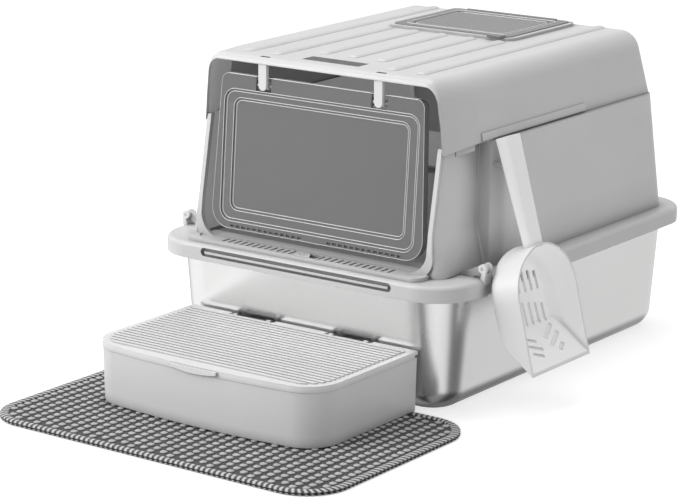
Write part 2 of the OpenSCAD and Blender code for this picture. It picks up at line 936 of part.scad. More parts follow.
module skylight() color([0.55, 0.56, 0.57, 0.6]) {
    sky_place()
        translate([0, 0, sky_lift - sky_t])
            difference() {
                union() {
                    linear_extrude(sky_t)
                        rounded_rect(sky_w, sky_d, 9);
                    translate([sky_w / 2 - 16, -sky_d / 2 - 4, sky_t - sky_lift + slide_gap])
                        linear_extrude(2.4)
                            rounded_rect(22, 12, 3);
                    translate([0, sky_axis[1], sky_t - sky_pin_r])
                        rod_x(sky_knuckle, sky_w - 40);
                }
                translate([0, 0, sky_t - 0.8])
                    linear_extrude(10)
                        rounded_rect(sky_w - 34, sky_d - 34, 8);
                translate([0, sky_axis[1], sky_t - sky_pin_r])
                    rod_x(sky_pin_r + run_gap, sky_w);
            }
}

module skylight_pin() color("gainsboro") {
    sky_place()
        translate(sky_axis)
            rod_x(sky_pin_r, sky_w + 4);
}

// ---------------------------------------------------------------- buckles

// An arm with a tooth below the rim, and two cheeks at its top that take the pin.
module buckle(side) color([0.92, 0.92, 0.92]) {
    inner = rim_w / 2 + slide_gap - buckle_x;
    outer = inner + buckle_t;
    foot = rim_z - slide_gap - buckle_t;
    neck = buckle_axis_z - buckle_eye - 2 * slide_gap;
    cheek_w = (buckle_w - buckle_lug_w) / 2 - slide_gap;
    translate([side * buckle_x, buckle_y, 0])
        mirror([side > 0 ? 0 : 1, 0, 0])
            rotate([90, 0, 0]) {
                linear_extrude(buckle_w, center = true)
                    polygon([[outer, neck], [outer, foot + 1], [outer - 1, foot],
                        [inner - tooth, foot], [inner - tooth, foot + buckle_t - 1],
                        [inner, foot + buckle_t], [inner, rim_top - rim_round],
                        [inner - 1.5, neck]]);
                for (end = [-1, 1])
                    translate([0, 0, end * (buckle_w - cheek_w) / 2])
                        linear_extrude(cheek_w, center = true)
                            difference() {
                                union() {
                                    translate([0, buckle_axis_z])
                                        circle(r = buckle_eye);
                                    polygon([[0, buckle_axis_z + buckle_eye],
                                        [outer, buckle_axis_z - 2], [outer, neck - 4],
                                        [inner - 1, neck - 4], [inner - 1.5, neck],
                                        [0, buckle_axis_z - buckle_eye]]);
                                }
                                translate([0, buckle_axis_z])
                                    circle(r = pin_r + run_gap);
                            }
            }
}

module buckle_pin(side) color("gainsboro") {
    translate([side * buckle_x, buckle_y, buckle_axis_z])
        rod_y(pin_r, buckle_w);
}

// ---------------------------------------------------------------- scoop

// Local frame of the scoop: z up the handle, x out of the bowl's mouth, origin at the
// middle of the handle's top.
module scoop_frame() {
    translate(scoop_top)
        rotate([0, -scoop_lean, 0])
            children();
}

// Half section across the bowl, floor down.
module bowl_section(inset) {
    r = bowl_round - inset;
    wide = bowl_r - inset;
    intersection() {
        union() {
            translate([-1, inset])
                square([wide - r + 1, bowl_depth + 9]);
            translate([-1, inset + r])
                square([wide + 1, bowl_depth + 9]);
            translate([wide - r, inset + r])
                circle(r = r);
        }
        square([wide, bowl_depth + 9]);
    }
}

// The bowl lies along -Y from its half-round end, and opens upwards.
module bowl_solid(inset) {
    intersection() {
        union() {
            rotate_extrude(angle = 180)
                bowl_section(inset);
            rotate([90, 0, 0])
                linear_extrude(bowl_straight + 9)
                    for (side = [0, 1])
                        mirror([side, 0])
                            bowl_section(inset);
        }
        rotate([90, 0, 90])
            linear_extrude(2 * bowl_r, center = true)
                bowl_side(inset);
    }
}

// The bowl seen from its side: floor, sloping front and mouth.
module bowl_side(inset) {
    back = bowl_r + 1;
    foot = -bowl_straight + ramp_run;
    run = ramp_run / lip_depth;
    shift = inset * (sqrt(1 + run * run) - run);
    over = inset > 0 ? 9 : 0;
    lift = inset * sqrt(1 + run * run);
    polygon([[back, inset], [foot + shift, inset],
        [-bowl_straight - over * run + lift, lip_depth + over],
        [back, bowl_depth + over]]);
}

module bowl_slots() {
    for (k = [-3 : 3], row = [0, 1])
        translate([k * 11.5, 17 - row * 38 - abs(k) * 1.5, -5])
            linear_extrude(20)
                rounded_rect(5, 28 - abs(k) * 2, 2.4);
}

module ramp_slots() {
    translate([0, -bowl_straight + ramp_run / 2, lip_depth / 2])
        rotate([-atan(lip_depth / ramp_run), 0, 0])
            for (side = [-1, 1], k = [-1 : 1])
                translate([side * 22, 2 + k * 12, -8])
                    rotate([0, 0, side * 28])
                        linear_extrude(16)
                            rounded_rect(k < 0 ? 16 : 32, 5, 2.4);
}

module scoop() color([0.95, 0.95, 0.95]) {
    scoop_frame() {
        translate([mouth_out - bowl_depth, 0, bowl_straight - bowl_end])
            rotate([90, 0, 90])
                difference() {
                    bowl_solid(0);
                    bowl_solid(scoop_wall);
                    bowl_slots();
                    ramp_slots();
                }
        difference() {
            scoop_handle();
            translate([-handle_top_t / 2, 0, -peg_drop])
                rotate([0, scoop_lean, 0])
                    rod_x(peg_r + 0.5, 2 * peg_in + 2);
        }
    }
}

module scoop_handle() {
    hull() {
        translate([0, 0, -handle_len])
            linear_extrude(tiny)
                rounded_rect(handle_t, handle_w, handle_t / 2 - tiny, $fn = 32);
        translate([0, 0, -tiny])
            linear_extrude(tiny)
                rounded_rect(handle_top_t, handle_top_w, handle_top_t / 2 - tiny, $fn = 32);
    }
}

module scoop_peg() color([0.85, 0.85, 0.85]) {
    handle_x = scoop_top_x + peg_drop * sin(scoop_lean) - handle_top_t / 2 * cos(scoop_lean);
    z = scoop_top_z - peg_drop * cos(scoop_lean) - handle_top_t / 2 * sin(scoop_lean);
    x = hood_w / 2 - hood_draft - 2 * wall;
    translate([x, scoop_y, z])
        rotate([0, 90, 0])
            cylinder(r = peg_r, h = handle_x + peg_in - x);
}

// ---------------------------------------------------------------- step box

// Outline of the step seen from above: bowed front, round front corners, straight rear.
module step_plan(inset) {
    bow_y = step_front + bow_r;
    kx = step_half - step_corner;
    ky = bow_y - sqrt(pow(bow_r - step_corner, 2) - kx * kx);
    reach = bow_r / (bow_r - step_corner);
    tx = kx * reach;
    ty = bow_y - (bow_y - ky) * reach;
    intersection() {
        translate([0, bow_y])
            circle(r = bow_r - inset, $fn = 720);
        polygon([[-tx, step_front - 1], [tx, step_front - 1], [tx, ty], [kx, ky],
            [kx, ky + 5], [-kx, ky + 5], [-kx, ky], [-tx, ty]]);
    }
    for (side = [-1, 1])
        translate([side * kx, ky])
            circle(r = step_corner - inset);
    translate([-step_half + inset, ky])
        square([2 * (step_half - inset), step_rear - inset - ky]);
}

module step_body(inset) {
    hull() {
        translate([0, 0, step_z])
            linear_extrude(tiny)
                step_plan(step_draft + inset, $fn = 48);
        translate([0, 0, seam_z - tiny])
            linear_extrude(tiny)
                step_plan(inset, $fn = 48);
    }
}

module step_box() color([0.80, 0.80, 0.80]) {
    difference() {
        union() {
            step_body(step_inset);
            translate([0, 0, seam_z - step_flange])
                linear_extrude(step_flange)
                    step_plan(0);
        }
        intersection() {
            translate([0, 0, 2 * tiny])
                step_body(step_inset + step_wall);
            translate([-rim_w, -rim_d, step_z + step_wall])
                cube([2 * rim_w, 2 * rim_d, step_h]);
        }
        translate([-step_half - 1, lid_axis[1] - lid_t / 2, seam_z - step_flange])
            cube([2 * step_half + 2, step_rear - lid_axis[1] + lid_t, 4]);
    }
    for (side = [-1, 1], end = [-1, 1])
        translate([side * lid_notch_x + end * (lid_notch_w / 2 - 8), 0, 0])
            step_ear();
}

module step_ear() {
    difference() {
        translate([-3, 0, 0])
            rotate([90, 0, 90])
                linear_extrude(6) {
                    translate([lid_axis[1], lid_axis[2]])
                        circle(r = lid_pin_r + 1.8);
                    polygon([[lid_axis[1] - lid_pin_r - 1.8, lid_axis[2]],
                        [lid_axis[1] + lid_pin_r + 1.8, lid_axis[2]],
                        [step_rear - 1, seam_z - 10], [step_rear - 4, seam_z - 18],
                        [lid_axis[1] - lid_pin_r - 1.8, seam_z - 10]]);
                }
        translate([0, lid_axis[1], lid_axis[2]])
            rod_x(lid_pin_r + run_gap, 7);
    }
}

module step_lid() color([0.90, 0.90, 0.90]) {
    margin = 9;
    pitch = (step_d - 2 * tread_ends) / (tread_count - 1);
    difference() {
        union() {
            translate([0, 0, seam_z])
                linear_extrude(lid_t)
                    step_plan(0);
            translate([0, 0, seam_z + lid_t - tiny])
                linear_extrude(tread_h)
                    intersection() {
                        step_plan(margin);
                        for (k = [0 : tread_count - 1])
                            translate([-step_half, step_rear - 14 - k * pitch - tread_w / 2])
                                square([2 * step_half, tread_w]);
                    }
            finger_lip();
        }
        for (side = [-1, 1])
            translate([side * lid_notch_x, step_rear, lid_axis[2]])
                cube([lid_notch_w, 2 * lid_notch_d, 20], center = true);
        translate([0, lid_axis[1], lid_axis[2]])
            for (side = [-1, 1])
                translate([side * lid_notch_x, 0, 0])
                    rod_x(lid_pin_r + run_gap, lid_notch_w + 10);
    }
}

// Lip in front of the box for lifting the lid, joined to the plate above the seam.
module finger_lip() {
    top = lid_t - 1;
    translate([0, step_front - slide_gap, seam_z])
        rotate([90, 0, 0])
            linear_extrude(finger_t)
                intersection() {
                    translate([0, lip_bow - lip_h])
                        circle(r = lip_bow, $fn = 120);
                    translate([-lip_half, -lip_h])
                        square([2 * lip_half, lip_h + top]);
                }
    translate([-lip_half, step_front - slide_gap - tiny, seam_z + slide_gap])
        cube([2 * lip_half, 5, top - slide_gap]);
}

module step_pin(side) color("gainsboro") {
    translate([side * lid_notch_x, lid_axis[1], lid_axis[2]])
        rod_x(lid_pin_r, lid_notch_w + 8);
}

// ---------------------------------------------------------------- mat

module mat_layer(z) {
    translate([mat_x, mat_y, z])
        linear_extrude(mat_t)
            rounded_rect(mat_w - 2 * binding_w, mat_d - 2 * binding_w, mat_corner - binding_w);
}

module mat_binding(z) {
    translate([mat_x, mat_y, z])
        linear_extrude(mat_t)
            difference() {
                rounded_rect(mat_w, mat_d, mat_corner);
                rounded_rect(mat_w - 2 * binding_w, mat_d - 2 * binding_w,
                    mat_corner - binding_w);
            }
}

module mat_top() color([0.55, 0.55, 0.55]) mat_layer(mat_t);
module mat_top_binding() color([0.45, 0.45, 0.45]) mat_binding(mat_t);
module mat_bottom() color([0.40, 0.40, 0.40]) mat_layer(0);
module mat_bottom_binding() color([0.45, 0.45, 0.45]) mat_binding(0);

// ---------------------------------------------------------------- assembly

steel_pan();
rim_ring();
hood();
sill_latch();
top_cover();
badge_plate();
cover_pin(-1);  // cover_pin_left
cover_pin(1);  // cover_pin_right
hook(-1);  // hook_left
hook(1);  // hook_right
flap_door();
flap_pin(-1);  // flap_pin_left
flap_pin(1);  // flap_pin_right
skylight();
skylight_pin();
buckle(-1);  // buckle_left
buckle(1);  // buckle_right
buckle_pin(-1);  // buckle_pin_left
buckle_pin(1);  // buckle_pin_right
scoop();
scoop_peg();
step_box();
step_lid();
step_pin(-1);  // step_pin_left
step_pin(1);  // step_pin_right
mat_top();
mat_top_binding();
mat_bottom();
mat_bottom_binding();
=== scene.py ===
"""Looks of the enclosed litter box, round the CAD frame: finishes, skins, pan, trim, mat, studio."""
import json
import math

import bmesh
import bpy
from mathutils import Matrix, Vector


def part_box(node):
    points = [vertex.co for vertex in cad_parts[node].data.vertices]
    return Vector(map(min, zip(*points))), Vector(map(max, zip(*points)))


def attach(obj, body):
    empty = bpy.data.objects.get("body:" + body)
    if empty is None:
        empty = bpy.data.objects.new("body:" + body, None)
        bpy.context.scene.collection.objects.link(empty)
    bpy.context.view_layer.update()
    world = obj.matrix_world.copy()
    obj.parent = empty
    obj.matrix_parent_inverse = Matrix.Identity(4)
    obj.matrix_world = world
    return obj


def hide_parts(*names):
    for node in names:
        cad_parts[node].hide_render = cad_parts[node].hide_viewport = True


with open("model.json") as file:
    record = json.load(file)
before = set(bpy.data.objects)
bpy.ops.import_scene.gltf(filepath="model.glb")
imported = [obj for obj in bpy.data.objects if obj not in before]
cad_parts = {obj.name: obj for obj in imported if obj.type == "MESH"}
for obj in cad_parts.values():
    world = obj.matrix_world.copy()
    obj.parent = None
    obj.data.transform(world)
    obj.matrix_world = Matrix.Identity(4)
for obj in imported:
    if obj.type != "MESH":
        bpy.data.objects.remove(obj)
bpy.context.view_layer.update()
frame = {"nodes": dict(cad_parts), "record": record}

MM = 0.001
RECORD = frame["record"]
BODY_OF = {node: body for body, nodes in RECORD["behaviour"]["bodies"].items() for node in nodes}
SLOT_OF = {part["node"]: part["material_slot"] for part in RECORD["subparts"]}

# ------------------------------------------------------------------ camera

IMAGE_W, IMAGE_H = 679, 499
FOCAL_PX = 2713.8
SENSOR_MM = 36
CENTRE_PX = (306.7, 251.6)
CAMERA_AT = Vector((1.8110, -2.6466, 0.9414))
AZIMUTH = math.radians(37.015)
ELEVATION = math.radians(14.498)


def make_camera():
    data = bpy.data.cameras.new("camera")
    data.sensor_width = SENSOR_MM
    data.lens = FOCAL_PX * SENSOR_MM / IMAGE_W
    data.shift_x = (IMAGE_W / 2 - CENTRE_PX[0]) / IMAGE_W
    data.shift_y = (CENTRE_PX[1] - IMAGE_H / 2) / IMAGE_W
    data.clip_start, data.clip_end = 0.05, 60
    camera = bpy.data.objects.new("camera", data)
    bpy.context.scene.collection.objects.link(camera)
    back = Vector((math.sin(AZIMUTH) * math.cos(ELEVATION),
                   -math.cos(AZIMUTH) * math.cos(ELEVATION), math.sin(ELEVATION)))
    right = Vector((math.cos(AZIMUTH), math.sin(AZIMUTH), 0))
    up = back.cross(right)
    turn = Matrix((right, up, back)).transposed().to_4x4()
    camera.matrix_world = Matrix.Translation(CAMERA_AT) @ turn
    bpy.context.scene.camera = camera


# ------------------------------------------------------------------ material parts

class Finish:
    """A node material: a Principled shader, and helpers that add what feeds it."""

    def __init__(self, name, **constants):
        self.material = bpy.data.materials.new(name)
        self.material.use_nodes = True
        self.tree = self.material.node_tree
        self.tree.nodes.clear()
        self.output = self.tree.nodes.new("ShaderNodeOutputMaterial")
        self.shader = self.tree.nodes.new("ShaderNodeBsdfPrincipled")
        self.link(self.shader.outputs[0], self.output.inputs["Surface"])
        for socket, value in constants.items():
            self.shader.inputs[socket.replace("_", " ")].default_value = value
        self.normal = None

    def link(self, a, b):
        self.tree.links.new(a, b)

    def add(self, kind, inputs=(), **settings):
        node = self.tree.nodes.new("ShaderNode" + kind)
        for key, value in settings.items():
            setattr(node, key, value)
        for key, value in dict(inputs).items():
            if isinstance(value, bpy.types.NodeSocket):
                self.link(value, node.inputs[key])
            else:
                node.inputs[key].default_value = value
        return node

    def place(self, stretch=(1, 1, 1), uv=False):
        """Object or UV coordinates, stretched."""
        coordinate = self.add("TexCoord").outputs["UV" if uv else "Object"]
        return self.add("Mapping", {"Vector": coordinate, "Scale": stretch}).outputs[0]

    def noise(self, scale, detail=2.0, roughness=0.5, stretch=(1, 1, 1)):
        return self.add("TexNoise", {"Vector": self.place(stretch), "Scale": scale, "Detail": detail,
                                     "Roughness": roughness}).outputs["Fac"]

    def ramp(self, value, low, high, start=0.0, end=1.0):
        return self.add("MapRange", {"Value": value, "From Min": start, "From Max": end,
                                     "To Min": low, "To Max": high}).outputs["Result"]

    def mix(self, factor, a, b):
        """Colour a where factor is 0, b where it is 1."""
        node = self.add("Mix", data_type="RGBA")
        for socket, value in ((node.inputs[0], factor), (node.inputs[6], a), (node.inputs[7], b)):
            if isinstance(value, bpy.types.NodeSocket):
                self.link(value, socket)
            else:
                socket.default_value = value
        return node.outputs[2]

    def painted_shade_mask(self, reach):
        """Mask for painted shade, from ambient occlusion: 1 in the open and less in nooks; reach in mm.
        """
        sky = self.add("AmbientOcclusion", {"Distance": reach * MM}, samples=6).outputs["AO"]
        return self.ramp(sky, 0, 1, 0.25, 0.95)

    def colour(self, socket):
        self.link(socket, self.shader.inputs["Base Color"])

    def rough(self, socket):
        self.link(socket, self.shader.inputs["Roughness"])

    def round_edges(self, radius):
        """Softens edges in the shading, as the radius of a moulded or folded edge does."""
        self.normal = self.add("Bevel", {"Radius": radius}, samples=6).outputs[0]

    def bump(self, height, strength, distance):
        node = self.add("Bump", {"Height": height, "Strength": strength, "Distance": distance})
        if self.normal:
            self.link(self.normal, node.inputs["Normal"])
        self.normal = node.outputs[0]

    def done(self):
        if self.normal:
            self.link(self.normal, self.shader.inputs["Normal"])
        return self.material


def grey(value, warmth=0.0, alpha=1.0):
    """A linear grey; warmth above 0 leans it to yellow, below 0 to blue."""
    return (value * (1 + warmth), value, value * (1 - warmth), alpha)


# How dark the painted shade in nooks gets, as a share of the plastic's tone.
PAINTED_SHADE_TONE = 0.36


def plastic(name, value, roughness=0.34, grain=0.16, warmth=0.0, edge=0.9, glow=0.0, painted_shade_reach=14):
    """Moulded plastic: faint flow shading, painted shade that darkens its nooks, a spark-eroded grain
    and softened edges.
    glow is painted light: a white emission that stands in for the light that comes through a thin wall,
    seen from inside."""
    finish = Finish(name, IOR=1.49, Specular_IOR_Level=0.5)
    cloud = finish.noise(9, 3)
    tone = finish.mix(finish.ramp(cloud, 0, 1, 0.3, 0.7), grey(value * 0.975, warmth),
                      grey(min(value * 1.02, 0.92), warmth))
    # painted shade: the tone darkens in nooks, by ambient occlusion
    if painted_shade_reach:
        tone = finish.mix(finish.painted_shade_mask(painted_shade_reach), grey(value * PAINTED_SHADE_TONE), tone)
    finish.colour(tone)
    # painted light: a white emission makes the plastic glow
    if glow:
        finish.shader.inputs["Emission Color"].default_value = grey(1.0)
        finish.shader.inputs["Emission Strength"].default_value = glow
    scuff = finish.noise(38, 4, 0.65)
    finish.rough(finish.ramp(scuff, roughness - 0.05, roughness + 0.06, 0.3, 0.7))
    if edge:
        finish.round_edges(edge * MM)
    finish.bump(finish.noise(850, 2, 0.6), grain, 0.12 * MM)
    return finish.done()


def brushed_steel(name="brushed_steel", glow=0.0):
    """Satin steel: even and soft, with a trace of brush lines round the pan.
    glow is painted light: an emission that stands in for the light that gathers inside the pan."""
    finish = Finish(name, Metallic=1.0, Emission_Color=grey(1.0), Emission_Strength=glow)
    fine = finish.noise(1, 2, 0.6, stretch=(10, 10, 1200))
    finish.colour(finish.mix(finish.ramp(fine, 0, 1, 0.3, 0.7), grey(0.79, 0.003), grey(0.81, 0.003)))
    finish.rough(finish.ramp(finish.noise(6, 2, 0.5), 0.24, 0.28, 0.3, 0.7))
    finish.bump(fine, 0.006, 0.02 * MM)
    return finish.done()


def smoky(name, value, alpha):
    """Tinted see-through plastic with a glossy skin."""
    finish = Finish(name, IOR=1.5, Alpha=alpha, Coat_Weight=0.3, Coat_Roughness=0.05)
    cloud = finish.noise(7, 2)
    finish.colour(finish.mix(cloud, grey(value * 0.95, -0.004), grey(value * 1.05, -0.004)))
    finish.rough(finish.ramp(finish.noise(30, 3), 0.10, 0.18, 0.3, 0.7))
    finish.round_edges(0.9 * MM)
    finish.bump(finish.noise(11, 1), 0.08, 0.8 * MM)
    return finish.done()


def painted_edge_highlight():
    """Painted highlight: a light grey finish on the polished edges of the see-through pieces, standing
    in for the light they gather.
    """
    finish = Finish("painted_edge_highlight", IOR=1.5, Coat_Weight=0.4, Coat_Roughness=0.05)
    finish.colour(finish.mix(finish.noise(60, 2), grey(0.80), grey(0.90)))
    finish.rough(finish.ramp(finish.noise(90, 2), 0.15, 0.25, 0.3, 0.7))
    return finish.done()


def foam(name, low, high, painted_shade_reach=0):
    """Closed-cell foam: fine pores, matt mottling and painted shade that darkens its nooks."""
    finish = Finish(name, Sheen_Weight=0.15, Sheen_Roughness=0.6, Specular_IOR_Level=0.3)
    pores = finish.add("TexVoronoi", {"Vector": finish.place(), "Scale": 1500.0}).outputs["Distance"]
    cloud = finish.noise(60, 4, 0.6)
    tone = finish.mix(finish.ramp(cloud, 0, 1, 0.3, 0.7), grey(low), grey(high))
    # painted shade: nooks darken to a tenth of the low tone, by ambient occlusion
    if painted_shade_reach:
        tone = finish.mix(finish.painted_shade_mask(painted_shade_reach), grey(low * 0.10), tone)
    finish.colour(tone)
    finish.rough(finish.ramp(cloud, 0.62, 0.80, 0.3, 0.7))
    finish.bump(pores, 0.35, 0.25 * MM)
    return finish.done()


TWIST_SCALE = math.pi / 10  # one band of the wave texture for each twist


def twisted_tape():
    """Over-edge stitching: light threads slanting over a mid-grey tape, by the tape's UVs."""
    finish = Finish("twisted_tape", Sheen_Weight=0.3, Sheen_Roughness=0.5, Specular_IOR_Level=0.3)
    across = finish.place(uv=True)
    wave = finish.add("TexWave", {"Vector": across, "Scale": TWIST_SCALE, "Distortion": 0.6,
                                  "Detail": 2.0, "Detail Scale": 3.0},
                      wave_type="BANDS", bands_direction="X").outputs["Fac"]
    fibre = finish.add("TexNoise", {"Vector": finish.place((30, 4, 1), uv=True), "Scale": 4.0,
                                    "Detail": 3.0}).outputs["Fac"]
    blend = finish.mix(finish.ramp(wave, 0, 1, 0.30, 0.75), grey(0.05), grey(0.72))
    blend = finish.mix(finish.ramp(fibre, 0, 0.3, 0.3, 0.8), blend, grey(0.16))
    # painted shade: the tape darkens to nearly black in its creases and nooks, by ambient occlusion
    finish.colour(finish.mix(finish.painted_shade_mask(4), grey(0.01), blend))
    finish.rough(finish.ramp(fibre, 0.70, 0.9, 0.3, 0.7))
    finish.bump(fibre, 0.5, 0.3 * MM)
    return finish.done()


def make_finishes():
    # A nook reach sets how far the painted shade in nooks spreads; 0 leaves it out.
    return {
        "steel": brushed_steel(),
        # painted light: the pan's inside glows, for the light gathered there
        "inner_steel_painted_glow": brushed_steel("inner_steel_painted_glow", glow=0.03),
        "rim_plastic": plastic("rim_plastic", 0.72, 0.36),
        "hood_plastic": plastic("hood_plastic", 0.78, 0.36, painted_shade_reach=45),
        "cover_plastic": plastic("cover_plastic", 0.75, 0.34),
        # The glow in the three finishes below is painted light: emission standing in for light through
        # thin walls.
        "inner_wall_painted_glow": plastic("inner_wall_painted_glow", 0.60, 0.40, glow=0.13, painted_shade_reach=0),
        "bowl_painted_glow": plastic("bowl_painted_glow", 0.86, 0.34, 0.10, glow=0.17, painted_shade_reach=8),
        "white_plastic": plastic("white_plastic", 0.84, 0.38, 0.10, glow=0.06),
        "clear_plastic": smoky("clear_plastic", 0.22, 0.78),
        "painted_edge_highlight": painted_edge_highlight(),
        "dark_plastic": plastic("dark_plastic", 0.05, 0.30, 0.10, 0.03),
        "pin_plastic": plastic("pin_plastic", 0.62, 0.30, 0.08),
        "step_plastic": plastic("step_plastic", 0.80, 0.38),
        "lid_plastic": plastic("lid_plastic", 0.88, 0.36, edge=0, painted_shade_reach=5),
        "mat_foam": foam("mat_foam", 0.46, 0.60, painted_shade_reach=5),
        # painted shade: the sheet between the nubs is near-black, as the shade there
        "mat_ground_painted_shade": foam("mat_ground_painted_shade", 0.03, 0.06),
        "mat_base": foam("mat_base", 0.10, 0.14),
        "binding": twisted_tape(),
    }


# ------------------------------------------------------------------ pieces

def link_mesh(name, mesh):
    piece = bpy.data.objects.new(name, mesh)
    bpy.context.scene.collection.objects.link(piece)
    return piece


def finish_piece(piece, slot, body, *nodes, finish=None):
    """Gives a piece its finish and body, and the CAD nodes that it stands for."""
    piece.data.materials.append(FINISHES[finish or slot])
    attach(piece, body)
    if nodes:
        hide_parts(*nodes)


def smooth(value, start, end):
    t = min(max((value - start) / (end - start), 0), 1)
    return t * t * (3 - 2 * t)


def squeeze(x, start, end, keep):
    """Draws what lies between start and end in towards start, on both sides of the middle."""
    size = abs(x)
    if size <= start:
        return x
    drawn = start + (min(size, end) - start) * keep + max(size - end, 0)
    return math.copysign(drawn, x)


# Places and amounts for the shape functions; a place is a coordinate of the shared frame.
COVER_LOW, COVER_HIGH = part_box("top_cover")
RIM_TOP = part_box("rim_ring")[1][2]
NECK_TOP = 300 * MM
COVER_SIDE = COVER_HIGH[0] - 3.5 * MM  # the cover's side wall; the grip stands proud of it
GRIP_SLIM, GRIP_DROP = 0.35, 2.5 * MM
COVER_IN, COVER_OUT, COVER_DRAW = 130 * MM, 200 * MM, 0.24
CORNER_DROOP = 8 * MM
LUG_Y = -197 * MM
NECK_IN, NECK_OUT, NECK_DRAW = 164 * MM, 183 * MM, 0.68
FRAME_FORWARD = 4 * MM
BUCKLE_INNER, BUCKLE_SLIM = 208 * MM, 0.5
PEG_Y, PEG_Z, PEG_HANDLE_X = -141 * MM, 272.7 * MM, 204 * MM
PEG_SLIM, PEG_BACK = 0.5, 2 * MM
SCOOP_REAR, BOWL_GROWTH = -85 * MM, 0.08
BOWL_FORWARD, HANDLE_FORWARD = 1.5 * MM, 4 * MM


def shape_cover(p):
    """Narrows the cover's front to the neck, droops its front corners and slims the side grip."""
    size = abs(p.x)
    if size > COVER_SIDE + 0.1 * MM and p.z < COVER_LOW[2] + 16 * MM and p.y < 60 * MM:
        p.x = math.copysign(COVER_SIDE + (size - COVER_SIDE) * GRIP_SLIM, p.x)
        p.z -= GRIP_DROP
    front = smooth(-p.y, 152 * MM, 205 * MM)
    p.x = squeeze(p.x, COVER_IN, COVER_OUT, 1 - COVER_DRAW * front)
    low = 1 - smooth(p.z, NECK_TOP, NECK_TOP + 14 * MM)
    p.z -= CORNER_DROOP * low * smooth(-p.y, 158 * MM, 224 * MM) ** 1.4
    return p


def shape_hood(p):
    """Slims the neck above the rim, brings its frame a little forward and lowers the buckles' lugs."""
    size = abs(p.x)
    if abs(p.y - LUG_Y) < 3.2 * MM and p.z < 174 * MM and 166 * MM < size:
        p.z = RIM_TOP + (p.z - RIM_TOP) * (0.1 + 0.9 * smooth(size, 204 * MM, 210 * MM))
    rise = (p.z - RIM_TOP) / (NECK_TOP - RIM_TOP)
    if p.y < -143 * MM and size < 182.5 * MM:
        p.x = squeeze(p.x, NECK_IN, NECK_OUT, 1 - NECK_DRAW * smooth(rise, 0.02, 0.3))
    p.y -= FRAME_FORWARD * smooth(-p.y, 200 * MM, 209 * MM) * smooth(rise, 0.05, 0.3)
    return p


def shape_buckle(p):
    """Thins the buckle's lower half, clear of the scoop that hangs before it."""
    keep = BUCKLE_SLIM + (1 - BUCKLE_SLIM) * smooth(p.z, 158 * MM, 165 * MM)
    p.x = math.copysign(BUCKLE_INNER + (abs(p.x) - BUCKLE_INNER) * keep, p.x)
    return p


def shape_peg(p):
    """Slims the peg outside the handle, and moves it a little way behind it."""
    if p.x < PEG_HANDLE_X:
        p.y = PEG_Y + PEG_BACK + (p.y - PEG_Y) * PEG_SLIM
        p.z = PEG_Z + (p.z - PEG_Z) * PEG_SLIM
    return p


def shape_scoop(p):
    """Widens the bowl towards the front, and moves the handle with it."""
    bowl = 1 - smooth(p.z, 172 * MM, 196 * MM)
    p.y -= HANDLE_FORWARD * (1 - bowl) + bowl * (BOWL_FORWARD + BOWL_GROWTH * (SCOOP_REAR - p.y))
    return p


SHAPES = {"top_cover": shape_cover, "hood": shape_hood, "scoop": shape_scoop, "scoop_peg": shape_peg,
          "buckle_left": shape_buckle, "buckle_right": shape_buckle}
# For each shell: a point inside it, and the finish with painted glow for the faces that look towards
# it.
SHELLS = {"top_cover": (Vector((0, -20 * MM, 330 * MM)), "inner_wall_painted_glow"),
          "hood": (Vector((0, 0, 235 * MM)), "inner_wall_painted_glow"),
          "scoop": (Vector((246 * MM, -142 * MM, 135 * MM)), "bowl_painted_glow")}
ENTRY_Y, ARCH_Y = -237 * MM, -221 * MM
ENTRY_LEAN = math.tan(math.radians(10.6))
HOOK_SLOT_Y = -214 * MM
HOOK_SLOT_X, SILL_HALF = 82 * MM, 125 * MM
# Where the painted glow on the inner walls ends; the shells are cut there.
GLOW_END, GLOW_TOP = -165 * MM, 205 * MM
INNER, PAINTED_SHADE_PLACE = 1, 2  # material places after a skin's own finish: inner faces with painted glow, and slots painted dark as their shade
GLOW_CUTS = {"top_cover": [((0, GLOW_END, 0), (0, 1, 0))], "hood": [((0, 0, GLOW_TOP), (0, 0, 1))]}


def mark_inner_walls(form, middle):
    """Marks the faces that look inwards, which take painted glow, and the slots of the sill and the
    hooks, which are painted dark as their shade.
    """
    for face in form.faces:
        p = face.calc_center_median()
        entrance = ENTRY_Y + (p.z - RIM_TOP) * ENTRY_LEAN if p.z < NECK_TOP else ARCH_Y
        inwards = (middle - p).normalized().dot(face.normal)
        beside_flap = abs(face.normal.x) > 0.4 and (p.y < GLOW_END or p.z < NECK_TOP)
        if middle.x > 0:  # the scoop
            lit = inwards > -0.5
        else:
            lit = inwards > 0.25 and p.y > entrance + 6 * MM and (beside_flap or p.z < GLOW_TOP)
        # painted light: these faces take the glowing inner finish
        if lit:
            face.material_index = INNER
        in_sill = p.y < ENTRY_Y + 2 * MM and RIM_TOP < p.z < RIM_TOP + 1 * MM and abs(p.x) < SILL_HALF
        in_roof = p.z > 366 * MM and abs(p.y - HOOK_SLOT_Y) < 1.7 * MM and abs(face.normal.z) < 0.5
        # painted shade: the slots take dark plastic
        if in_sill or (in_roof and abs(abs(p.x) - HOOK_SLOT_X) < 7 * MM):
            face.material_index = PAINTED_SHADE_PLACE


HOOD_SHARP = 75  # lets the corner between the neck and the body shade smoothly
SHADING_ATTRIBUTES = ("custom_normal", "sharp_edge", "sharp_face")


